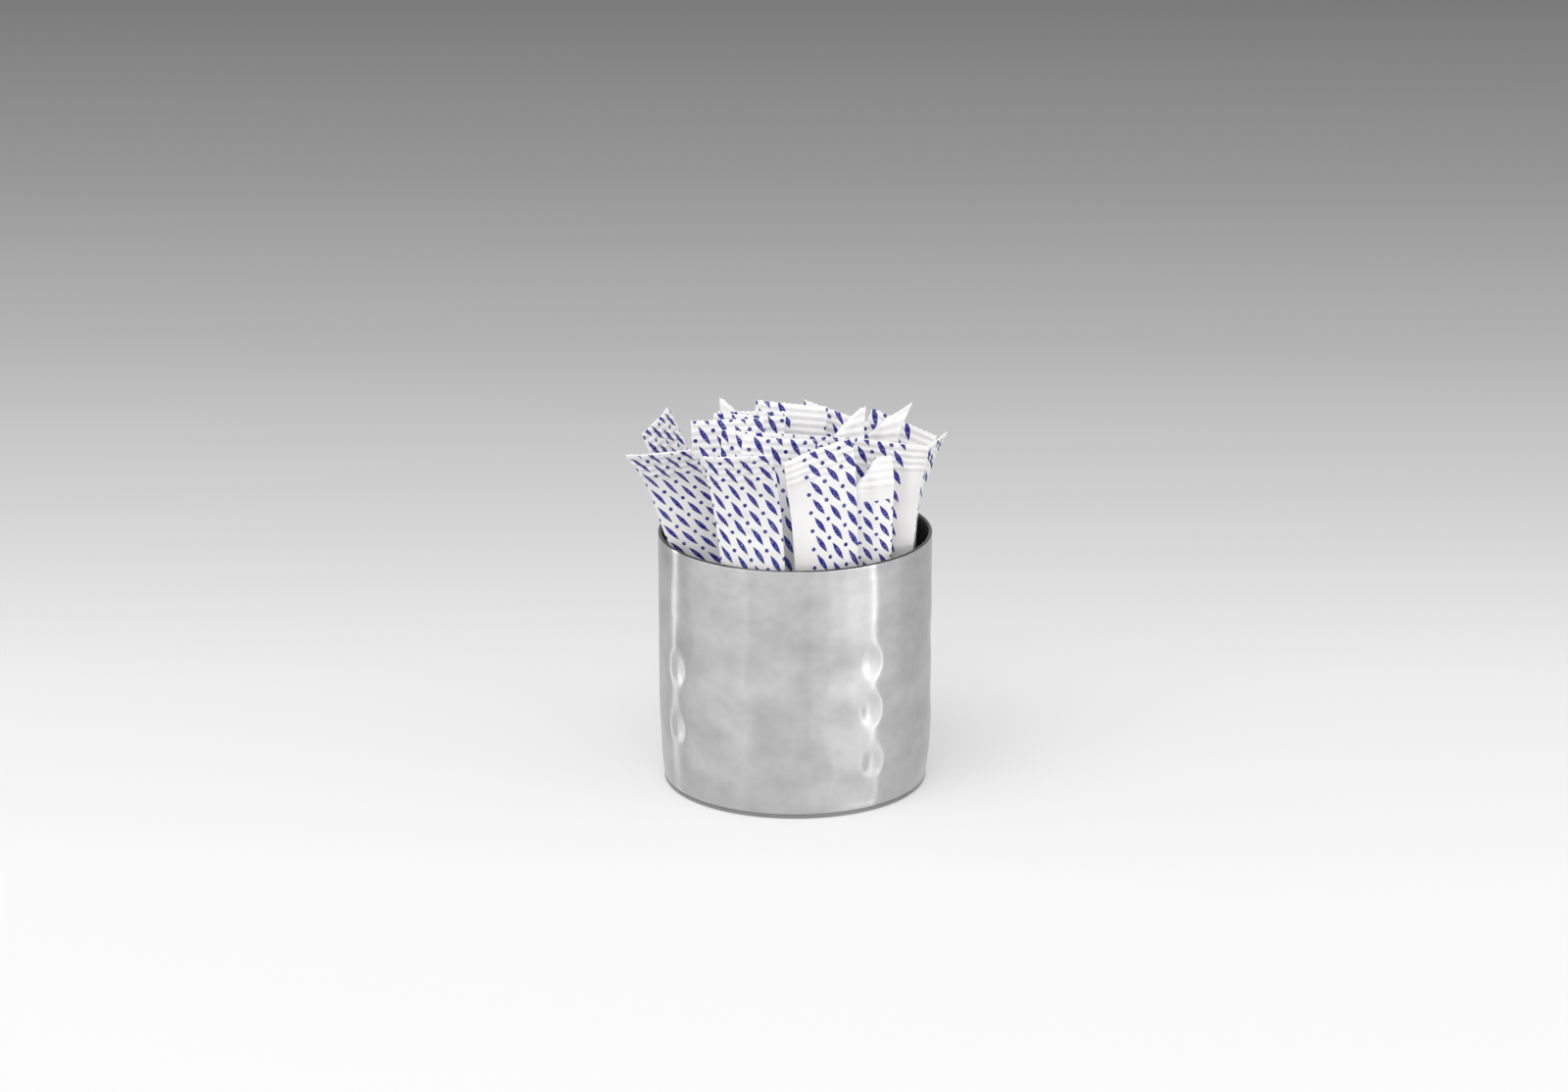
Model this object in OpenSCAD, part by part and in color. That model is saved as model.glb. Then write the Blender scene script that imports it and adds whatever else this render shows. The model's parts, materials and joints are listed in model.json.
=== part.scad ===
// Sugar packet holder: a hammered steel cup with stick packets of sugar standing in it.
// The origin is the middle of the cup's underside, +Z is up and -Y is the front. Lengths are in millimetres.

/* [Cup] */
// Outside diameter of the cup at the rim
cup_d = 76; // [72:0.5:110]
// Height of the cup from the table to the rim
cup_h = 72; // [50:0.5:90]
// Thickness of the hammered sheet
wall_t = 1; // [0.6:0.1:1.6]
// Thickness of the base plate
base_t = 1.2; // [0.8:0.1:3]
// Radius of the base plate's lower edge
base_edge_r = 0.6; // [0.2:0.05:0.7]
// How far the wall is drawn in where it meets the base plate
foot_in = 1.3; // [0:0.1:2]
// Height over which the wall is drawn in
foot_h = 20; // [8:1:40]

/* [Packet] */
// Length of a packet over both sealed ends
packet_l = 104; // [90:1:130]
// Width of a packet where it is pressed flat
packet_w = 20; // [15:0.5:21]
// Thickness of a packet where it is fullest
packet_t = 4.4; // [3:0.1:4.8]
// Length of the pressed seal at each end
seal_l = 9; // [5:0.5:15]
// Thickness of the paper
paper_t = 0.15; // [0.1:0.01:0.25]
// How much the pressed ribs thicken a seal
seal_rib = 0.2; // [0.12:0.02:0.4]
// Height of the sugar above the lower seal
sugar_h = 55; // [30:1:70]
// Longest stretch at the top of a packet that bends
bend_l = 36; // [20:1:40]

/* [Fits] */
// Gap between the base plate and the lowest corner of a packet
stand_gap = 0.3; // [0.1:0.05:1]
// Gap between the sugar and the paper round it
sugar_gap = 0.04; // [0.02:0.01:0.05]

/* [Hidden] */
$fn = 96;
cup_r = cup_d / 2;
room_r = cup_r - wall_t;
base_r = cup_r - foot_in;

// The drawn-in stretch of the wall has this many straight bands
foot_bands = 8;

// A seal is two plies and its ribs. A flat tube gets narrower as it fills, because its girth stays the same.
seal_t = 2 * paper_t + seal_rib;
narrowing = (PI / 2 - 1) * packet_t;
tube_l = packet_l - 2 * seal_l;

// A packet's top is free to bend from this height on, which is never far below the rim
free_z = max(packet_l - bend_l, cup_h - packet_t);
free_l = packet_l - free_z;

// Below 1, the fullest place lies in the lower half of the tube
fill_skew = 0.6;
// Roundness of the tube's two faces, and how blunt its folded sides are
face_power = 0.75;
side_share = 0.8;
// Where the surface has points: along the straight tube, along its free stretch and along the upper seal, as shares
// of their lengths, and across the tube, as shares of half its width
along_straight = [0, 0.09, 0.24, 0.45, 0.7, 1];
along_free = [0.33, 0.67, 1];
along_seal = [0.5, 1];
across = [-1, -0.6, 0, 0.6, 1];

// Each packet's place, from the front row to the back: where its middle line meets the floor (x, y) and where it
// passes the rim (x, y), in hundredths of the cup's inner radius, and its turn about that line in degrees.
// Rows stand behind each other and the lines spread upwards, so each packet slides out past its neighbours.
PLACES = [
    [-19, -76, -31, -85, -13],
    [27, -70, 23, -80, 12],
    [-20, -60, -16, -66, -2],
    [40, -56, 47, -61, 10],
    [-24, -48, -28, -53, -2],
    [2, -35, -65, -36, -12],
    [57, -32, 64, -36, 3],
    [-37, -20, -46, -22, -4],
    [30, -20, 38, -24, 3],
    [-34, -6, -37, -8, 4],
    [27, -6, 24, -9, -3],
    [-29, 7, -31, 5, 0],
    [33, 7, 29, 5, 4],
    [-23, 20, -10, 19, 3],
    [37, 20, 50, 20, -3],
    [-30, 33, -32, 34, -4],
    [31, 33, 33, 34, 3],
    [-20, 47, 54, 49, 0],
    [72, 2, 88, 2, 86],
    [-70, 22, -82, 24, 65],
];

// How the top of each packet is bent, in the same order: its lean to its right, its lean to its back and its twist,
// in degrees, then how much higher its right corner ends than its middle and how far its end is drawn down or folded
// away, in hundredths of the free stretch.
BENDS = [
    [-3, -21, -4, 2, 0],
    [-8, -8, 9, 2, 0],
    [3, 2, 4, 0, 0],
    [-7, -2, 6, 26, 45],
    [3, 3, -4, 0, 0],
    [-4, -26, -14, -1, 3],
    [5, -16, -4, 0, 8],
    [0, 3, 3, 0, 0],
    [5, 2, -6, 0, 19],
    [6, 2, 5, 0, 0],
    [2, 2, -4, 0, 17],
    [2, -2, 3, 0, 0],
    [-5, 2, 4, 18, 21],
    [2, 2, -3, 0, 0],
    [-9, 2, 3, 18, 29],
    [8, 4, -4, -6, 17],
    [0, 4, 0, -10, 11],
    [4, 4, 5, 0, 14],
    [-3, -20, -18, 1, 21],
    [0, 30, 3, 3, 12],
];

function two_digits(i) = str(i < 10 ? "0" : "", i);
function sleeve_name(i) = str("packet_", two_digits(i), "_sleeve");
function sugar_name(i) = str("packet_", two_digits(i), "_sugar");

// How far the wall is drawn in at a height: a parabola that starts upright at foot_h
function drawn_in(z) = z >= foot_h ? 0 : foot_in * pow(1 - z / foot_h, 2) / pow(1 - base_t / foot_h, 2);

// Heights of the wall's bands, from the base plate to the end of the drawn-in stretch
foot_heights = [for (k = [0 : foot_bands]) base_t + (foot_h - base_t) * k / foot_bands];

module cup_wall() {
    rim_z = cup_h - wall_t / 2;
    outer = [for (z = foot_heights) [cup_r - drawn_in(z), z]];
    inner = [for (z = foot_heights) [room_r - drawn_in(z), z]];
    last = foot_bands;
    color("silver")
    rotate_extrude() {
        polygon(concat(
            outer,
            [[cup_r, rim_z], [room_r, rim_z]],
            [for (k = [0 : last]) inner[last - k]]
        ));
        translate([cup_r - wall_t / 2, rim_z])
            circle(d = wall_t);
    }
}

module base_plate() {
    color("darkgray")
    rotate_extrude() {
        square([base_r - base_edge_r, base_t]);
        translate([0, base_edge_r])
            square([base_r, base_t - base_edge_r]);
        translate([base_r - base_edge_r, base_edge_r])
            circle(base_edge_r);
    }
}

// Share of full thickness at a height in the packet: nothing at the seals
function bulge(z) =
    let (s = min(1, max(0, (z - seal_l) / tube_l)))
    sin(180 * pow(s, fill_skew));

// Closed ring of points round a straight packet at height z, for a skin that lies depth under the outside
function ring(z, depth) =
    let (
        half_w = (packet_w - narrowing * bulge(z)) / 2 - 2 * depth,
        seal_half = seal_t / 2 - depth,
        half_t = seal_half + (packet_t - seal_t) / 2 * bulge(z),
        side = side_share * seal_half,
        y = [for (u = across) side + (half_t - side) * pow(1 - u * u, face_power)],
        last = len(across) - 1
    )
    concat(
        [for (k = [0 : last]) [across[k] * half_w, -y[k], z]],
        [for (k = [0 : last]) [across[last - k] * half_w, y[last - k], z]]
    );

// Smooth step from 0 to 1
function ease(t) =
    let (c = min(1, max(0, t)))
    c * c * (3 - 2 * c);

// Carries a point round an arc that leans by an angle over the free stretch: its offset to the side and its height
function lean(side, z, angle) =
    angle == 0 || z < free_z ? [side, z] :
    let (
        bend_r = free_l / angle * 180 / PI,
        turn = min(1, (z - free_z) / free_l) * angle,
        past = max(0, z - packet_l)
    )
    [
        bend_r * (1 - cos(turn)) + past * sin(angle) + side * cos(turn),
        free_z + bend_r * sin(turn) + past * cos(angle) - side * sin(turn)
    ];

// Where the bent top has a point of the straight packet: its end is slanted and drawn down, then twisted and leant
function bent(p, bend) =
    p[2] <= free_z ? p :
    let (
        end_share = 1 + bend[3] / 100 * p[0] / (packet_w / 2) - bend[4] / 100,
        z = free_z + (p[2] - free_z) * end_share,
        spin = bend[2] * ease((z - free_z) / free_l),
        x = p[0] * cos(spin) - p[1] * sin(spin),
        y = p[0] * sin(spin) + p[1] * cos(spin),
        right = lean(x, z, bend[0]),
        back = lean(y, right[1], bend[1])
    )
    [right[0], back[0], back[1]];

function bent_ring(z, depth, bend) = [for (p = ring(z, depth)) bent(p, bend)];

tube_heights = concat(
    [for (s = along_straight) seal_l + s * (free_z - seal_l)],
    [for (s = along_free) free_z + s * (packet_l - seal_l - free_z)]
);
sleeve_heights = concat([0], tube_heights, [for (s = along_seal) packet_l - seal_l + s * seal_l]);

// Ring across the tube at any height, on the straight lines between the tube's own rings
function cut_ring(z, depth, bend) =
    let (
        k = max([for (i = [0 : len(tube_heights) - 2]) if (tube_heights[i] <= z) i]),
        share = (z - tube_heights[k]) / (tube_heights[k + 1] - tube_heights[k]),
        under = bent_ring(tube_heights[k], depth, bend),
        over = bent_ring(tube_heights[k + 1], depth, bend)
    )
    [for (i = [0 : len(under) - 1]) under[i] + share * (over[i] - under[i])];

// Closed skin through a pile of rings, with an end across the first ring and the last
module skin(rings) {
    n = len(rings[0]);
    top = (len(rings) - 1) * n;
    sides = [
        for (r = [0 : len(rings) - 2])
        for (i = [0 : n - 1])
        let (
            a = r * n + i,
            b = r * n + (i + 1) % n
        )
        each [[a, a + n, b + n], [a, b + n, b]]
    ];
    low_end = [
        for (k = [0 : n / 2 - 2])
        each [[k, k + 1, n - 2 - k], [k, n - 2 - k, n - 1 - k]]
    ];
    high_end = [for (f = low_end) [top + f[2], top + f[1], top + f[0]]];
    polyhedron(
        points = [for (r = rings) each r],
        faces = concat(sides, low_end, high_end)
    );
}

module sleeve(bend) {
    color("white")
    difference() {
        skin([for (z = sleeve_heights) bent_ring(z, 0, bend)]);
        skin([for (z = tube_heights) bent_ring(z, paper_t, bend)]);
    }
}

module sugar(bend) {
    low = seal_l + sugar_gap;
    high = seal_l + sugar_h;
    heights = concat([low], [for (z = tube_heights) if (z > low && z < high) z], [high]);
    color("ivory")
    skin([for (z = heights) cut_ring(z, paper_t + sugar_gap, bend)]);
}

function unit(v) = v / norm(v);

// Stands a packet at its place: its length lies along the line from floor to rim, its lowest corner near the floor
module stand(place) {
    foot = room_r / 100 * [place[0], place[1], 0] + [0, 0, base_t];
    rim = room_r / 100 * [place[2], place[3], 0] + [0, 0, cup_h];
    up = unit(rim - foot);
    level = [cos(place[4]), sin(place[4]), 0];
    wide = unit(level - up * (level * up));
    thick = cross(up, wide);
    low = packet_w / 2 * abs(wide[2]) + seal_t / 2 * abs(thick[2]);
    at = foot + up * (stand_gap + low) / up[2];
    multmatrix([
        [wide[0], thick[0], up[0], at[0]],
        [wide[1], thick[1], up[1], at[1]],
        [wide[2], thick[2], up[2], at[2]],
    ])
        children();
}

cup_wall();
base_plate();
for (i = [1 : len(PLACES)]) {
    stand(PLACES[i - 1]) sleeve(BENDS[i - 1]);
    stand(PLACES[i - 1]) sugar(BENDS[i - 1]);
}
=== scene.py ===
import json
import math

import bpy
import numpy as np
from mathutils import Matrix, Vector


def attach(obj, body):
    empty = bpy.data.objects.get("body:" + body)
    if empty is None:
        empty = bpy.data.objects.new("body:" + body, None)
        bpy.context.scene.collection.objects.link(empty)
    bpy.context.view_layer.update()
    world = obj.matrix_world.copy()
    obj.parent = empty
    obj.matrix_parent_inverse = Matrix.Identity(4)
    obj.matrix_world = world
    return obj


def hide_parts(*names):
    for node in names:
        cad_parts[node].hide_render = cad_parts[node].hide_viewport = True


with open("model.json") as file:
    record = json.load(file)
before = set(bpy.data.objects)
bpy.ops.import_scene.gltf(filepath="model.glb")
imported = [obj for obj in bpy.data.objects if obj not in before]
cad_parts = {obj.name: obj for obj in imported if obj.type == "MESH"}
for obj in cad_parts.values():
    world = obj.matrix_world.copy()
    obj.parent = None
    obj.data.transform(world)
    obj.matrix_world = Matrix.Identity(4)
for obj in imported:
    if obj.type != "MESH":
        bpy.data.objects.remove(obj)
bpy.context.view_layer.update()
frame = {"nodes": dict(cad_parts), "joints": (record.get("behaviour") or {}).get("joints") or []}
scene = bpy.context.scene
scene.view_settings.view_transform = "Standard"
mm = 0.001

# camera, as the photograph was taken: lengths in metres, places in its 1600 x 1114 pixels
cameraSet = {
    "frameWide": 1600,
    "frameHigh": 1114,
    "target": (0.0, 0.0, 0.037),
    "targetPixel": (811.3, 661.8),
    "focalPixels": 5482,
    "distance": 1.5,
    "elevation": 18.8,  # degrees above the table
    "sensor": 36.0,
    "farClip": 50.0,
}


def makeCamera(c):
    data = bpy.data.cameras.new("photoCamera")
    data.sensor_fit = "HORIZONTAL"
    data.sensor_width = c["sensor"]
    data.lens = c["focalPixels"] / c["frameWide"] * c["sensor"]
    data.shift_x = (c["frameWide"] / 2 - c["targetPixel"][0]) / c["frameWide"]
    data.shift_y = (c["targetPixel"][1] - c["frameHigh"] / 2) / c["frameWide"]
    data.clip_end = c["farClip"]
    camera = bpy.data.objects.new("photoCamera", data)
    scene.collection.objects.link(camera)
    up = math.radians(c["elevation"])
    away = Vector((0, -math.cos(up), math.sin(up))) * c["distance"]
    camera.location = Vector(c["target"]) + away
    camera.rotation_euler = (math.pi / 2 - up, 0, 0)
    scene.camera = camera


makeCamera(cameraSet)
print("camera: placed")


# smooth step from 0 at a to 1 at b
def ease(x, a, b):
    t = np.clip((x - a) / (b - a), 0, 1)
    return t * t * (3 - 2 * t)


# bell curve, 1 at x = 0 and nearly gone at twice the reach
def bell(x, reach):
    return np.exp(-((x / reach) ** 2))


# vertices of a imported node, in metres
def nodePoints(name):
    vertices = frame["nodes"][name].data.vertices
    co = np.empty(len(vertices) * 3)
    vertices.foreach_get("co", co)
    return co.reshape(-1, 3)


# quads between neighbouring rows of a grid whose columns close into a ring; rows close too if asked
def ringQuads(rows, cols, closeRows=False):
    r = np.arange(rows if closeRows else rows - 1)[:, None]
    c = np.arange(cols)[None, :]
    up = (r + 1) % rows
    side = (c + 1) % cols
    quads = np.stack([r * cols + c, r * cols + side, up * cols + side, up * cols + c], axis=-1)
    return quads.reshape(-1, 4)


# mesh object from arrays of points, quads and triangles; uv has one row for each corner, quads first
def addPiece(name, points, quads, tris=None, uv=None):
    tris = np.empty((0, 3), int) if tris is None else tris
    corners = np.concatenate([quads.ravel(), tris.ravel()])
    starts = np.concatenate([np.arange(len(quads)) * 4, len(quads) * 4 + np.arange(len(tris)) * 3])
    mesh = bpy.data.meshes.new(name)
    mesh.vertices.add(len(points))
    mesh.vertices.foreach_set("co", np.ascontiguousarray(points, np.float32).ravel())
    mesh.loops.add(len(corners))
    mesh.loops.foreach_set("vertex_index", corners.astype(np.int32))
    mesh.polygons.add(len(starts))
    mesh.polygons.foreach_set("loop_start", starts.astype(np.int32))
    mesh.update(calc_edges=True)
    mesh.polygons.foreach_set("use_smooth", np.ones(len(starts), bool))
    if uv is not None:
        mesh.uv_layers.new(name="webMap").data.foreach_set("uv", uv.astype(np.float32).ravel())
    mesh.validate()
    mesh.update()
    piece = bpy.data.objects.new(name, mesh)
    scene.collection.objects.link(piece)
    return piece


# node tree helper: makes nodes, sets their sockets and joins them
class Tree:
    def __init__(self, name):
        self.material = bpy.data.materials.new(name)
        self.material.use_nodes = True
        self.nodes = self.material.node_tree.nodes
        self.links = self.material.node_tree.links
        self.shader = self.nodes["Principled BSDF"]

    def add(self, kind, sockets=None, **settings):
        node = self.nodes.new(kind)
        for key, value in settings.items():
            setattr(node, key, value)
        for key, value in (sockets or {}).items():
            self.put(node.inputs[key], value)
        return node

    def put(self, socket, value):
        if isinstance(value, bpy.types.NodeSocket):
            self.links.new(value, socket)
        else:
            socket.default_value = value

    def calc(self, operation, a, b=0.0, c=0.0):
        node = self.add("ShaderNodeMath", operation=operation)
        for socket, value in zip(node.inputs, (a, b, c)):
            self.put(socket, value)
        return node.outputs[0]

    def noise(self, vector, scale, detail=2.0, roughness=0.5):
        sockets = {"Vector": vector, "Scale": scale, "Detail": detail, "Roughness": roughness}
        return self.add("ShaderNodeTexNoise", sockets).outputs["Fac"]

    def stretch(self, vector, scale):
        return self.add("ShaderNodeMapping", {"Vector": vector, "Scale": scale}).outputs[0]

    def remap(self, value, fromLow, fromHigh, toLow, toHigh):
        sockets = {0: value, 1: fromLow, 2: fromHigh, 3: toLow, 4: toHigh}
        return self.add("ShaderNodeMapRange", sockets).outputs[0]

    def mix(self, factor, a, b):
        node = self.add("ShaderNodeMix", data_type="RGBA")
        for socket, value in zip((node.inputs[0], node.inputs[6], node.inputs[7]), (factor, a, b)):
            self.put(socket, value)
        return node.outputs[2]

    def bump(self, height, strength, distance, normal=None):
        sockets = {"Height": height, "Strength": strength, "Distance": distance}
        if normal is not None:
            sockets["Normal"] = normal
        return self.add("ShaderNodeBump", sockets).outputs[0]

    def objectPlace(self):
        return self.add("ShaderNodeTexCoord").outputs["Object"]

    def set(self, **sockets):
        for key, value in sockets.items():
            self.put(self.shader.inputs[key.replace("_", " ")], value)


def grey(tone):
    return (tone, tone, tone, 1)


# satin steel, polished round the cup: hairlines lie level, so highlights stretch upwards
steelSet = {
    "wallTones": (0.435, 0.578),  # dark and light
    # painted shade: the inside wall and the rim's cut edge are made near black
    "insidePaintedShadeTones": (0.09, 0.14),
    # the plate is darker than the wall: painted shade for the dark contact line at the foot
    "plateShadeTones": (0.27, 0.33),
    "blotchScale": 75.0,  # clouds of darker and lighter tone
    "blotchStretch": (1.0, 1.0, 1.4),
    "fineScale": 420.0,
    "fineShare": 0.15,  # share of the fine grain in the tone, the rest is blotch
    "toneSpan": (0.3, 0.7),  # noise that gives the dark and the light tone
    "roughness": 0.27,
    "hairStretch": (30.0, 30.0, 1300.0),
    "hairBump": (0.06, 0.1 * mm),  # strength and distance
    "ringScale": 260.0,  # turning marks on the plate
    "ringBump": (0.12, 0.05 * mm),
}


def satinSteel(name, p, tones, ringMarks=False):
    t = Tree(name)
    place = t.objectPlace()
    blotch = t.noise(t.stretch(place, p["blotchStretch"]), p["blotchScale"], detail=3.0)
    fine = t.noise(place, p["fineScale"], detail=3.0, roughness=0.6)
    blotchPart = t.calc("MULTIPLY", blotch, 1 - p["fineShare"])
    tone = t.calc("MULTIPLY_ADD", fine, p["fineShare"], blotchPart)
    dark, light = tones
    t.set(Base_Color=t.mix(t.remap(tone, *p["toneSpan"], 0.0, 1.0), grey(dark), grey(light)))
    t.set(Roughness=p["roughness"], Metallic=1.0)
    if ringMarks:
        rings = {"Vector": place, "Scale": p["ringScale"], "Distortion": 0.6, "Detail": 2.0}
        marks = t.add("ShaderNodeTexWave", rings, wave_type="RINGS", rings_direction="Z").outputs["Fac"]
        t.set(Normal=t.bump(marks, *p["ringBump"]))
    else:
        hair = t.noise(t.stretch(place, p["hairStretch"]), 1.0, detail=1.0)
        t.set(Normal=t.bump(hair, *p["hairBump"]))
        tangent = t.add("ShaderNodeTangent", direction_type="RADIAL", axis="Z").outputs[0]
        t.set(Anisotropic=1.0, Anisotropic_Rotation=0.25, Tangent=tangent)
    return t.material


# white packet paper with a small blue print: slanted grains in half drop, and dots between the columns
mapUnit = 100.0  # mm in one unit of the print map
printSet = {
    "columnStep": 5.0,  # mm across the paper
    "rowStep": 5.5,  # mm along the packet
    "columns": 8,  # columns round the packet
    "printed": 6,  # columns that carry print, the rest stay bare
    "grain": (0.75, 3.1),  # mm, half width and half length
    "grainRound": 1.8,  # above 1, the long sides bulge
    "grainEdge": (0.92, 1.1),  # where the ink starts to fade and where it ends, as shares of the grain
    "slant": 31.0,  # degrees
    "dot": 0.6,  # mm, radius
    "dotEdge": (0.85, 1.15),
    "dotShift": (0.5, 0.25),  # columns and rows from the grains
    "ink": (0.009, 0.012, 0.24, 1),
    "inkLeast": 0.75,  # ink left where it took badly
    "inkScale": 2600.0,
    "inkSpan": (0.35, 0.5),  # noise that gives the least and the full ink
    "paper": ((0.84, 0.83, 0.82, 1), (0.88, 0.87, 0.865, 1)),  # mottled between these two
    "mottleScale": 130.0,
    "mottleSpan": (0.3, 0.7),
    "roughness": 0.48,
    "gloss": 0.22,
    "fibreScale": 3200.0,
    "fibreBump": (0.06, 0.08 * mm),  # strength and distance
    "lumpScale": 620.0,
    "lumpBump": (0.10, 0.25 * mm),
    "glow": 0.12,  # how much light spreads in the paper, how far, and the shares of red, green and blue
    "glowReach": 1.2 * mm,
    "glowShares": (1.0, 0.9, 0.8),
}


def packetPaper(name, p):
    t = Tree(name)
    web = t.add("ShaderNodeUVMap", uv_map="webMap").outputs[0]
    parts = t.add("ShaderNodeSeparateXYZ", {0: web})
    across = t.calc("MULTIPLY", parts.outputs[0], mapUnit)
    along = t.calc("MULTIPLY", parts.outputs[1], mapUnit)

    # place inside a cell, in mm from its middle, with every second column half a row lower
    def cell(shift, offset):
        column = t.calc("ADD", t.calc("DIVIDE", across, p["columnStep"]), shift)
        index = t.calc("FLOOR", column)
        drop = t.calc("MULTIPLY", t.calc("FLOORED_MODULO", index, 2.0), 0.5)
        row = t.calc("ADD", t.calc("DIVIDE", along, p["rowStep"]), t.calc("ADD", drop, offset))
        x = t.calc("MULTIPLY", t.calc("SUBTRACT", t.calc("FRACT", column), 0.5), p["columnStep"])
        y = t.calc("MULTIPLY", t.calc("SUBTRACT", t.calc("FRACT", row), 0.5), p["rowStep"])
        printed = t.calc("FLOORED_MODULO", index, float(p["columns"]))
        return x, y, t.calc("LESS_THAN", printed, p["printed"] - 0.5)

    x, y, onGrain = cell(0.0, 0.0)
    turnCos, turnSin = math.cos(math.radians(p["slant"])), math.sin(math.radians(p["slant"]))
    slantX = t.calc("MULTIPLY_ADD", x, turnCos, t.calc("MULTIPLY", y, turnSin))
    slantY = t.calc("MULTIPLY_ADD", y, turnCos, t.calc("MULTIPLY", x, -turnSin))
    wide = t.calc("DIVIDE", t.calc("ABSOLUTE", slantX), p["grain"][0])
    long = t.calc("DIVIDE", t.calc("ABSOLUTE", slantY), p["grain"][1])
    spread = t.calc("ADD", wide, t.calc("POWER", long, p["grainRound"]))
    grain = t.remap(spread, *p["grainEdge"], 1.0, 0.0)
    x, y, onDot = cell(*p["dotShift"])
    reach = t.calc("SQRT", t.calc("ADD", t.calc("MULTIPLY", x, x), t.calc("MULTIPLY", y, y)))
    dot = t.remap(reach, p["dot"] * p["dotEdge"][0], p["dot"] * p["dotEdge"][1], 1.0, 0.0)
    marks = t.calc("MAXIMUM", t.calc("MULTIPLY", grain, onGrain), t.calc("MULTIPLY", dot, onDot))

    place = t.objectPlace()
    taken = t.remap(t.noise(place, p["inkScale"]), *p["inkSpan"], p["inkLeast"], 1.0)
    mottle = t.remap(t.noise(place, p["mottleScale"], detail=3.0), *p["mottleSpan"], 0.0, 1.0)
    paper = t.mix(mottle, *p["paper"])
    t.set(Base_Color=t.mix(t.calc("MULTIPLY", marks, taken), paper, p["ink"]))
    t.set(Roughness=p["roughness"], Specular_IOR_Level=p["gloss"])
    fibre = t.noise(place, p["fibreScale"], detail=3.0, roughness=0.6)
    lumps = t.noise(place, p["lumpScale"])
    t.set(Normal=t.bump(fibre, *p["fibreBump"], t.bump(lumps, *p["lumpBump"])))
    t.set(Subsurface_Weight=p["glow"], Subsurface_Radius=p["glowShares"], Subsurface_Scale=p["glowReach"])
    return t.material


steelMaterial = satinSteel("satinSteel", steelSet, steelSet["wallTones"])
# the inside steel's near-black tone is painted shade
insidePaintedShadeMaterial = satinSteel("insidePaintedShadeSteel", steelSet, steelSet["insidePaintedShadeTones"])
# the plate steel's darker tone is painted shade at the foot
plateShadedMaterial = satinSteel("plateShadedSteel", steelSet, steelSet["plateShadeTones"], ringMarks=True)
paperMaterial = packetPaper("packetPaper", printSet)
print("finishes: steel, plate and printed paper")


# hammered wall: rows run up the outside, over the rim and down the inside, columns run round
wallSet = {
    "around": 480,
    "footRows": 5,
    "outerRows": 124,
    "rimRows": 9,
    "innerRows": 34,
    "footRound": 0.25 * mm,  # round of the lower edge, which leaves a fine line above the plate
    "footFade": 2.5 * mm,  # height over which the hammering starts
    "blowsAround": 19,
    "blowRows": 6,
    "strayBlow": (7.5 * mm, 9.0 * mm, 0.26 * mm),  # half width, half height and depth
    "strayScale": (0.75, 1.2),
    "strayPlace": 0.3,  # how far a blow strays, in steps of the grid
    "shownBlow": (5.0 * mm, 6.2 * mm, 0.42 * mm),
    "shownPlaces": [(33, 44), (33, 30), (34, 15), (-59, 38), (-59, 21)],  # degrees right of the front, mm up
    "smoothTop": 0.2,  # share of the depth left at the rim
    "smoothSpan": (0.18, 0.42),  # the depth grows between these shares of the height, from the rim down
    # slow lobes that leave the cup out of round: count, depth, phase and turn for each metre up
    "lobes": [(3, 0.08 * mm, 0.7, 0.0), (5, 0.048 * mm, 2.0, 1 / (22 * mm))],
    "seed": 11,
}


# angle brought between -180 and 180 degrees
def wrap(angle):
    return (angle + math.pi) % (2 * math.pi) - math.pi


# squared distance from a blow's middle, where 1 is its edge
def fromBlow(angle, height, place, size, radius):
    aside = wrap(angle - place[0]) * radius / size[0]
    return aside ** 2 + ((height - place[1]) / size[1]) ** 2


# hammer blows as (place, size): a loose half-drop grid, and the ones that the photograph shows at its streaks
def hammerBlows(low, high, radius, w):
    random = np.random.default_rng(w["seed"])
    shown = [(math.radians(turn - 90), up * mm) for turn, up in w["shownPlaces"]]
    blows = [(place, w["shownBlow"]) for place in shown]
    for row in range(w["blowRows"]):
        for column in range(w["blowsAround"]):
            stray = random.uniform(-w["strayPlace"], w["strayPlace"], 2)
            angle = (column + row % 2 / 2 + stray[0]) * 2 * math.pi / w["blowsAround"]
            height = low + (row + stray[1]) * (high - low) / (w["blowRows"] - 1)
            size = np.array(w["strayBlow"]) * random.uniform(*w["strayScale"])
            if all(fromBlow(angle, height, place, size, radius) > 1 for place in shown):
                blows.append(((angle, height), size))
    return blows


# how far the sheet is moved out: each blow is a round dish, depth x (1 - squared distance) squared, flatter
# near the rim, and slow sine lobes round the cup leave it slightly out of round
def hammerDepth(angle, height, radius, low, high, w):
    dish = np.zeros_like(angle)
    for place, size in hammerBlows(low, high, radius, w):
        dish -= size[2] * np.clip(1 - fromBlow(angle, height, place, size, radius), 0, 1) ** 2
    down = (high - height) / (high - low)
    out = dish * (w["smoothTop"] + (1 - w["smoothTop"]) * ease(down, *w["smoothSpan"]))
    for count, depth, phase, turn in w["lobes"]:
        out += depth * np.sin(count * angle + phase + turn * height)
    return out


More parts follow.
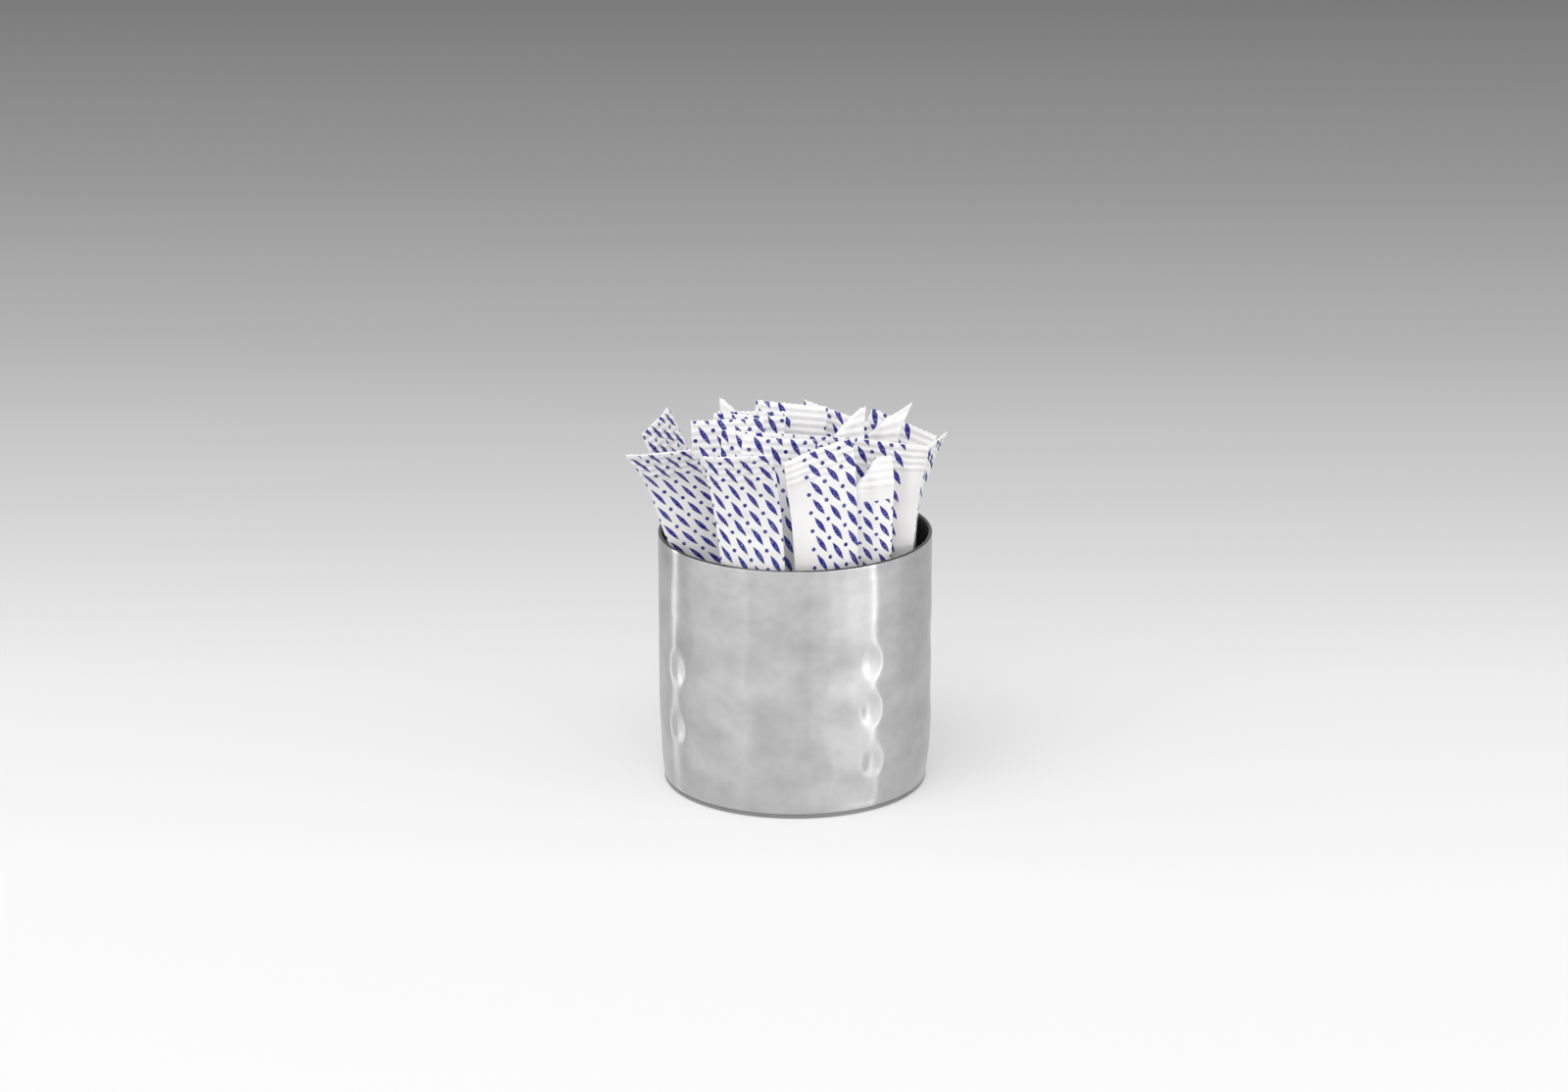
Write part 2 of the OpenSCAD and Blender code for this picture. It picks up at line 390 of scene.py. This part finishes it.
# the wall is a closed profile turned round the cup's axis, with the hammering added to its radius
def makeWall(w):
    co = nodePoints("cup_wall")
    radius = np.hypot(co[:, 0], co[:, 1])
    low, high = co[:, 2].min(), co[:, 2].max()
    levels = np.unique(np.round(co[:, 2], 6))
    foot = levels[levels < (low + high) / 2]
    outerFoot = np.array([radius[np.abs(co[:, 2] - z) < 1e-5].max() for z in foot])
    rimOuter = radius.max()
    thick = rimOuter - radius[co[:, 2] > (low + high) / 2].min()
    # radius of the sheet's outside at a height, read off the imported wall
    shape = lambda z: np.interp(z, np.append(foot, high), np.append(outerFoot, rimOuter))
    rimZ = high - thick / 2
    r = w["footRound"]
    corner = np.linspace(-math.pi / 2, 0, w["footRows"])
    footR = shape(low) - r + r * np.cos(corner)
    footZ = low + r + r * np.sin(corner)
    outerZ = np.linspace(low + r, rimZ, w["outerRows"])[1:]
    rimTurn = np.linspace(0, math.pi, w["rimRows"])[1:-1]
    innerZ = np.linspace(rimZ, low, w["innerRows"])
    rimR = rimOuter - thick / 2 + thick / 2 * np.cos(rimTurn)
    rowR = np.concatenate([footR, shape(outerZ), rimR, shape(innerZ) - thick])
    rowZ = np.concatenate([footZ, outerZ, rimZ + thick / 2 * np.sin(rimTurn), innerZ])
    angle = np.linspace(0, 2 * math.pi, w["around"], endpoint=False)
    grid = np.broadcast_to(angle[None, :], (len(rowZ), w["around"]))
    level = np.broadcast_to(rowZ[:, None], grid.shape)
    fade = ease(level, low, low + w["footFade"])
    full = rowR[:, None] + hammerDepth(grid, level, rimOuter, low, high, w) * fade
    points = np.stack([full * np.cos(grid), full * np.sin(grid), level], axis=-1).reshape(-1, 3)
    wall = addPiece("hammeredWall", points, ringQuads(len(rowZ), w["around"], closeRows=True))
    wall.data.materials.append(steelMaterial)
    wall.data.materials.append(insidePaintedShadeMaterial)
    # the cut edge of the rim is as dark as the inside; both carry the near-black tone, which is painted shade
    rowPaintedShade = np.arange(len(rowZ)) >= len(footZ) + len(outerZ)
    wall.data.polygons.foreach_set("material_index", np.repeat(rowPaintedShade, w["around"]).astype(np.int32))
    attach(wall, "cup")
    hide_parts("cup_wall")


makeWall(wallSet)
# the base plate gets the darker steel, whose tone is painted shade
plate = frame["nodes"]["base_plate"]
plate.data.materials.clear()
plate.data.materials.append(plateShadedMaterial)
print("cup: hammered wall and base plate")


# packets: lengths in mm, measured along the packet from its lower end
packetForm = {
    "length": 104.0,
    "around": 144,
    "lowRows": 14,
    "bodyRows": 62,
    "topRows": 46,
    "seal": 9.0,
    "sealThick": 0.5,
    "sealFade": (0.9, 0.3),  # the ribs fade out over this much before and after the seal's edge
    "sideThick": 0.4,  # at the two folded sides
    "sideSteep": 6.0,  # how soon the sides reach that thickness
    "fillSkew": 0.6,  # below 1, the fullest place lies low
    "waist": 2.8,  # how much narrower the filled tube is than its seals
    "faceRound": 1.35,
    "ribStep": 2.1,
    "ribHeight": 0.09,
    "toothStep": 1.6,
    "toothHeight": 0.35,
    "toothLength": 3.0,
    "slackSpan": (0.52, 0.7),  # creases and pleats start between these shares of the length
    "pleatStep": 5.2,
    "pleatHeight": 0.22,
    "pleatReach": 8.0,
    "waveLong": 7.0,  # slow waves along and across, lower in the seal
    "waveWide": 6.0,
    "waveHeight": 0.35,
    "waveSeal": 0.6,
    "lapWide": 6.0,
    "lapEdge": 0.3,
    "lapHeight": 0.12,
    "freeLength": 36.0,  # the stretch above the rim, which bends
    "dropFrom": 15.0,  # a shortened packet is drawn in from this far below that stretch
    "earLength": 9.0,
    "earFrom": 0.3,  # share of the half width where an ear starts
    "earSharp": 2.5,
    "bowAt": 77.0,  # where a packet bows sideways, and over what length
    "bowReach": 13.0,
    "creases": {
        "count": 5,
        "ridge": (2.0, 1.4, 0.5),  # place and reach in widths of the dent, and share of its depth
        "drawn": {  # each crease has values between these bounds, drawn in this order
            "depth": (0.12, 0.4),
            "at": (0.55, 0.86),  # share of the packet's length
            "turn": (-0.9, 0.9),  # radians
            "wide": (0.8, 1.6),
            "reach": (4.0, 9.0),
            "side": (-7.0, 7.0),
        },
    },
    "phaseSpan": 6.0,  # radians by which waves and pleats may be shifted
    "endSlice": 0.02,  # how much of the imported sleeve's lower end gives its width
    "seed": 100,
}

# how each packet's free end is bent; angles in degrees, lengths in mm
# sway leans it to its right, nod to its back, twist turns it, skew slants its seal up to the right,
# drop makes it shorter, cup curls its two sides back, ear draws a corner out (side, out, up, back),
# folds are (height, tilt, length of the bend, angle), bow pushes it to its right just above the rim,
# web shifts the print round, rise shifts it up and the paper has no print from bare on
plainLook = dict(sway=0, nod=0, twist=0, skew=0, drop=0, cup=0.4, ear=None, folds=(), bow=0)
plainLook.update(web=20, rise=0, bare=200)
packetLooks = {
    1: dict(sway=-3, nod=-21, twist=-4, skew=5, cup=0.8, rise=1.0),
    2: dict(sway=-8, nod=-8, twist=9, skew=4, cup=-0.7, web=14, rise=3.5),
    3: dict(sway=3, nod=2, twist=4, web=18),
    4: dict(sway=-7, nod=-2, twist=6, drop=7, folds=[(88.5, 50, 2.5, 165), (86, 12, 3, 8)], web=10, bare=92),
    5: dict(sway=3, nod=3, twist=-4, cup=0.5, web=22, rise=4.0),
    6: dict(sway=-4, nod=-26, twist=-14, skew=-2, drop=1, ear=(-1, 1.6, -0.4, 0.6), bow=-1.4, rise=1.5),
    7: dict(sway=5, nod=-16, twist=-4, drop=3, cup=0.5, web=35, rise=5.2),
    8: dict(nod=3, twist=3, cup=-0.4, web=19, rise=2.0),
    9: dict(sway=5, nod=2, twist=-6, drop=7, web=24, rise=0.5),
    10: dict(sway=6, nod=2, twist=5, cup=0.3, web=21, rise=3.0),
    11: dict(sway=2, nod=2, twist=-4, drop=6, web=16, rise=5.0),
    12: dict(sway=2, nod=-2, twist=3, cup=0.3, web=23, rise=1.0),
    13: dict(sway=-5, nod=2, twist=4, drop=2, folds=[(93, 43, 3, 162)], ear=(1, 1.2, 1.5, 0.0), web=37),
    14: dict(sway=2, nod=2, twist=-3, web=0, rise=2.5),
    15: dict(sway=-9, nod=2, twist=3, drop=4, folds=[(92.5, 36, 2.6, 168)], ear=(1, 4.5, 3.5, 0.3), web=37),
    16: dict(sway=8, nod=4, twist=-4, skew=-12, drop=6, ear=(-1, 1.5, 2.0, 0.5), web=17, rise=3.7),
    17: dict(nod=4, skew=-20, drop=4, web=28, rise=1.2),
    18: dict(sway=4, nod=4, twist=5, drop=5, cup=0.5, web=36, rise=2.2),
    19: dict(sway=-3, nod=-20, twist=-18, skew=2, drop=7.5, ear=(1, 2.2, -0.3, 0.0), web=25, rise=0.6),
    20: dict(nod=30, twist=3, skew=6, drop=4.3, ear=(1, 0.8, 0.3, 0.3), rise=3.1),
}


# bends the stretch from start on round an arc: lateral is carried along the arc's normal
def arcBend(lateral, along, start, length, angle):
    if abs(angle) < 1e-6:
        return lateral, along
    bend = length / angle
    t = np.clip((along - start) / length, 0, 1) * angle
    rest = np.maximum(along - start - length, 0)
    before = np.minimum(along - start, 0)
    newLateral = bend * (1 - np.cos(t)) + rest * math.sin(angle) + lateral * np.cos(t)
    newAlong = start + before + bend * np.sin(t) + rest * math.cos(angle) - lateral * np.sin(t)
    return newLateral, newAlong


# place, axes and size of a packet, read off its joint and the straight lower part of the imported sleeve
def packetFrame(name, f):
    co = nodePoints(name + "_sleeve")
    joint = next(j for j in frame["joints"] if j["child"] == name)
    up = np.array(joint["axis"], float)
    up /= np.linalg.norm(up)
    s = co @ up
    end = co[s < s.min() + f["endSlice"] * mm]
    straight = co[s < s.min() + (f["length"] - f["freeLength"]) * mm]
    wide = np.linalg.svd(end - end.mean(0), full_matrices=False)[2][0]
    wide -= up * (wide @ up)
    wide *= np.sign(wide[0]) / np.linalg.norm(wide)
    thick = np.cross(up, wide)
    middle = lambda axis: (end @ axis).min() / 2 + (end @ axis).max() / 2
    base = wide * middle(wide) + thick * middle(thick) + up * s.min()
    return base, wide, thick, up, np.ptp(end @ wide) / mm, np.ptp(straight @ thick) / mm


# soft creases: a few slanted dents, each a bell curve across its own line with a lower ridge beside it
def creases(x, s, f, random):
    c = f["creases"]
    ridgeAt, ridgeReach, ridgeShare = c["ridge"]
    drawn = [random.uniform(*bounds, c["count"]) for bounds in c["drawn"].values()]
    out = np.zeros_like(x)
    for depth, at, turn, wide, reach, side in zip(*drawn):
        up, aside = s - at * f["length"], x - side
        across = up * math.cos(turn) - aside * math.sin(turn)
        down = up * math.sin(turn) + aside * math.cos(turn)
        dent = bell(across, wide) - ridgeShare * bell(across / wide - ridgeAt, ridgeReach)
        out += depth * dent * bell(down, reach)
    return out


# rest form of a packet: x across it, y through it and s along it. The tube is a lens that is fattest low down
# and flat at both seals; the seals have level ribs, the paper beside them has pleats, and the back has a lap
def packetSkin(u, face, s, fullWide, fullThick, f, random):
    length = f["length"]
    share = np.clip((s - f["seal"]) / (length - 2 * f["seal"]), 0, 1)
    bulge = np.sin(math.pi * share ** f["fillSkew"])
    x = u * (fullWide - f["waist"] * np.sqrt(np.abs(bulge))) / 2
    side = f["sideThick"] / 2
    halfThick = (f["sealThick"] + (fullThick - f["sealThick"]) * bulge) / 2
    lens = (halfThick - side) * np.abs(face) ** f["faceRound"]
    y = np.sign(face) * (side * np.minimum(np.abs(face) * f["sideSteep"], 1) + lens)

    toTop = length - s
    inSeal = lambda d: 1 - ease(d, f["seal"] - f["sealFade"][0], f["seal"] + f["sealFade"][1])
    ribs = sum(np.cos(2 * math.pi * toEnd / f["ribStep"]) * inSeal(toEnd) for toEnd in (s, toTop))
    slack = ease(s, length * f["slackSpan"][0], length * f["slackSpan"][1])
    phase = lambda: random.uniform(0, f["phaseSpan"])
    pleat = np.sin(2 * math.pi * x / f["pleatStep"] + phase()) * bell(toTop - f["seal"], f["pleatReach"])
    wave = np.sin(s / f["waveLong"] + phase()) * np.cos(x / f["waveWide"] + phase())
    wave *= f["waveHeight"] * (1 - f["waveSeal"] * inSeal(toTop))
    folds = f["pleatHeight"] * pleat + wave + creases(x, s, f, random)
    edge, soft = f["lapWide"] / 2, f["lapEdge"]
    lap = ease(x, -edge - soft, -edge + soft) * (1 - ease(x, edge - soft, edge + soft)) * (face > 0)
    y = y + f["ribHeight"] * ribs + folds * slack + f["lapHeight"] * lap

    # cut end: small teeth
    teeth = np.abs((x / f["toothStep"] + random.uniform(0, 1)) % 1.0 - 0.5) * 2 - 0.5
    return x, y, s + f["toothHeight"] * teeth * ease(s, length - f["toothLength"], length)


# bends the free end: corner, curl and bow first, then folds, twist, sway and nod, each an arc or a turn
def bendFree(x, y, s, u, fullWide, f, look):
    length = f["length"]
    start = length - f["freeLength"]
    free = ease(s, start, length)
    if look["ear"]:
        earSide, earOut, earUp, earBack = look["ear"]
        nearEnd = ease(s, length - f["earLength"], length) ** f["earSharp"]
        pull = ease(u * earSide, f["earFrom"], 1.0) ** 2 * nearEnd
        x = x + earSide * earOut * pull
        s = s + earUp * pull
        y = y + earBack * pull
    y = y + look["cup"] * (x / (fullWide / 2)) ** 2 * free
    x = x + look["bow"] * bell(s - f["bowAt"], f["bowReach"])
    s = s + math.tan(math.radians(look["skew"])) * x * free
    s = s - look["drop"] * ease(s, start - f["dropFrom"], length - f["seal"])
    for height, tilt, bendLength, angle in look["folds"]:
        c, d = math.cos(math.radians(tilt)), math.sin(math.radians(tilt))
        across = x * c + (s - height) * d
        over = (s - height) * c - x * d
        y, over = arcBend(y, over, 0.0, bendLength, math.radians(angle))
        x = across * c - over * d
        s = height + over * c + across * d
    spin = math.radians(look["twist"]) * ease(s, start, length)
    x, y = x * np.cos(spin) - y * np.sin(spin), x * np.sin(spin) + y * np.cos(spin)
    x, s = arcBend(x, s, start, f["freeLength"], math.radians(look["sway"]))
    y, s = arcBend(y, s, start, f["freeLength"], math.radians(look["nod"]))
    return x, y, s


# print map of a ring: mm round the web, cut open down the middle of the back, and mm up the packet
def webCorners(rows, n, fullWide, look):
    turn = np.arange(n + 1) * 2 * math.pi / n
    back = np.arange(n + 1) <= n // 2
    web = fullWide / 2 * np.where(back, 1 - np.cos(turn), 3 + np.cos(turn))
    jump = np.where(np.arange(n) < n // 4, 2 * fullWide, 0.0)
    bare = rows[:-1, None] >= look["bare"]
    bareColumn = (printSet["printed"] + 1) * printSet["columnStep"]
    left = np.where(bare, bareColumn, web[:-1] + jump + look["web"])
    right = np.where(bare, bareColumn, web[1:] + jump + look["web"])
    low = rows[:-1, None] + look["rise"]
    high = rows[1:, None] + look["rise"]
    corners = [(left, low), (right, low), (right, high), (left, high)]
    return np.stack([np.stack(np.broadcast_arrays(a, b), axis=-1) for a, b in corners], axis=2).reshape(-1, 2)


# a packet is rings stacked along its length: the rest form is worked out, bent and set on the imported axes
def makePacket(number, f, look):
    name = f"packet_{number:02d}"
    base, wide, thick, up, fullWide, fullThick = packetFrame(name, f)
    random = np.random.default_rng(f["seed"] + number)
    n = f["around"]
    top = f["length"] - f["seal"]
    rows = np.concatenate([
        np.linspace(0, f["seal"], f["lowRows"], endpoint=False),
        np.linspace(f["seal"], top, f["bodyRows"], endpoint=False),
        np.linspace(top, f["length"], f["topRows"]),
    ])
    s, turn = np.meshgrid(rows, np.arange(n) * 2 * math.pi / n, indexing="ij")
    u = np.cos(turn)
    x, y, s = packetSkin(u, np.sin(turn), s, fullWide, fullThick, f, random)
    x, y, s = bendFree(x, y, s, u, fullWide, f, look)
    points = base + mm * (x[..., None] * wide + y[..., None] * thick + s[..., None] * up)

    # both ends are closed by quads between the front and the back of the ring
    k = np.arange(1, n // 2 - 1)
    cap = np.stack([k, k + 1, n - k - 1, n - k], axis=-1)
    tips = np.array([[0, 1, n - 1], [n // 2 - 1, n // 2, n // 2 + 1]])
    last = (len(rows) - 1) * n
    quads = np.concatenate([ringQuads(len(rows), n), cap[:, ::-1], cap + last])
    tris = np.concatenate([tips[:, ::-1], tips + last])
    uv = np.zeros((quads.size + tris.size, 2))
    corners = webCorners(rows, n, fullWide, look)
    uv[:len(corners)] = corners / mapUnit

    piece = addPiece(f"{name}_paper", points.reshape(-1, 3), quads, tris, uv)
    piece.data.materials.append(paperMaterial)
    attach(piece, name)
    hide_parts(f"{name}_sleeve", f"{name}_sugar")


for number, look in packetLooks.items():
    makePacket(number, packetForm, {**plainLook, **look})
print(f"packets: {len(packetLooks)} made")


# floor: pale near the cup and greyer further back, a painted shade of light falling off with distance; tones
# are (metres behind the cup, tone)
floorSet = {
    "size": 8.0,
    "tones": [(-0.08, 0.845), (0.08, 0.775), (0.25, 0.594), (0.45, 0.423), (0.7, 0.297), (1.05, 0.197)],
    "span": (-0.5, 1.5),  # metres that the ramp of tones covers
    "plainShare": 0.4,
    "throwBack": 0.42,  # tone for light thrown back on the packets, low so that the front ones match the rest
}


# one flat square
def makeFloor(p):
    h = p["size"] / 2
    corners = np.array([[-h, -h, 0], [h, -h, 0], [h, h, 0], [-h, h, 0]])
    floor = addPiece("floorSheet", corners, np.array([[0, 1, 2, 3]]))
    t = Tree("floorPaper")
    y = t.add("ShaderNodeSeparateXYZ", {0: t.objectPlace()}).outputs[1]
    near, far = p["span"]
    ramp = t.add("ShaderNodeValToRGB", {0: t.remap(y, near, far, 0.0, 1.0)})
    stops = ramp.color_ramp.elements
    stops.remove(stops[0])
    for i, (at, tone) in enumerate(p["tones"]):
        share = (at - near) / (far - near)
        stop = stops[0] if i == 0 else stops.new(share)
        stop.position = share
        stop.color = grey(tone)
    rays = t.add("ShaderNodeLightPath").outputs
    mirrored = t.calc("MAXIMUM", rays["Is Glossy Ray"], rays["Is Transmission Ray"])
    seen = t.calc("MAXIMUM", rays["Is Camera Ray"], mirrored)
    t.set(Base_Color=t.mix(seen, grey(p["throwBack"]), ramp.outputs[0]))
    t.set(Roughness=0.9, Specular_IOR_Level=0.0)
    # part of what is seen of it, directly or in the steel, is plain tone, so shadows on it are pale
    share = t.calc("MULTIPLY", seen, p["plainShare"])
    plain = t.add("ShaderNodeEmission", {"Color": ramp.outputs[0]}).outputs[0]
    both = t.add("ShaderNodeMixShader", {0: share, 1: t.shader.outputs[0], 2: plain}).outputs[0]
    t.put(t.nodes["Material Output"].inputs[0], both)
    floor.data.materials.append(t.material)


# soft light from all round, dimmer from behind, a wide lamp above the camera and to its left, and upright
# lamps that draw the streaks on the steel; they stand round the cup, in degrees right of the camera's side
lightSet = {
    "worldFront": 0.94,
    "worldBack": 0.54,
    "worldFade": (-0.6, 0.9),  # from front to back, along the direction's y
    "top": dict(size=(2.4, 2.0), watts=35.0, place=(-0.6, -1.3, 2.1)),
    "uprights": {
        "rightStrip": dict(turn=67, distance=1.1, size=(0.05, 0.35), watts=0.6),
        "rightNear": dict(turn=55, distance=1.15, size=(0.5, 0.35), watts=0.7),
        "rightWide": dict(turn=48, distance=1.15, size=(0.8, 0.35), watts=1.1),
        "rightWidest": dict(turn=41, distance=1.15, size=(1.1, 0.35), watts=0.9),
        "rightFar": dict(turn=84, distance=1.15, size=(0.5, 0.35), watts=0.35),
        "leftWide": dict(turn=-68, distance=1.15, size=(1.3, 0.35), watts=1.35),
        "leftStrip": dict(turn=-116, distance=1.1, size=(0.13, 0.35), watts=1.2),
    },
}


def makeLight(name, size, watts, place, aim):
    data = bpy.data.lights.new(name, "AREA")
    data.shape = "RECTANGLE"
    data.size, data.size_y = size
    data.energy = watts
    lamp = bpy.data.objects.new(name, data)
    lamp.location = place
    lamp.rotation_euler = (Vector(aim) - Vector(place)).to_track_quat("-Z", "Y").to_euler()
    scene.collection.objects.link(lamp)


def makeWorld(p):
    world = bpy.data.worlds.new("softWorld")
    world.use_nodes = True
    nodes, links = world.node_tree.nodes, world.node_tree.links
    direction = nodes.new("ShaderNodeTexCoord")
    parts = nodes.new("ShaderNodeSeparateXYZ")
    fade = nodes.new("ShaderNodeMapRange")
    for i, value in enumerate((*p["worldFade"], p["worldFront"], p["worldBack"])):
        fade.inputs[i + 1].default_value = value
    links.new(direction.outputs["Generated"], parts.inputs[0])
    links.new(parts.outputs[1], fade.inputs[0])
    links.new(fade.outputs[0], nodes["Background"].inputs["Strength"])
    nodes["Background"].inputs["Color"].default_value = (1, 1, 1, 1)
    scene.world = world


def makeLights(p):
    makeWorld(p)
    makeLight("topLamp", **p["top"], aim=(0, 0, 0))
    for name, lamp in p["uprights"].items():
        turn = math.radians(lamp["turn"])
        height = lamp["size"][1] / 2
        place = (lamp["distance"] * math.sin(turn), -lamp["distance"] * math.cos(turn), height)
        makeLight(name, lamp["size"], lamp["watts"], place, (0, 0, height))


makeFloor(floorSet)
makeLights(lightSet)
print("studio: floor and lamps")
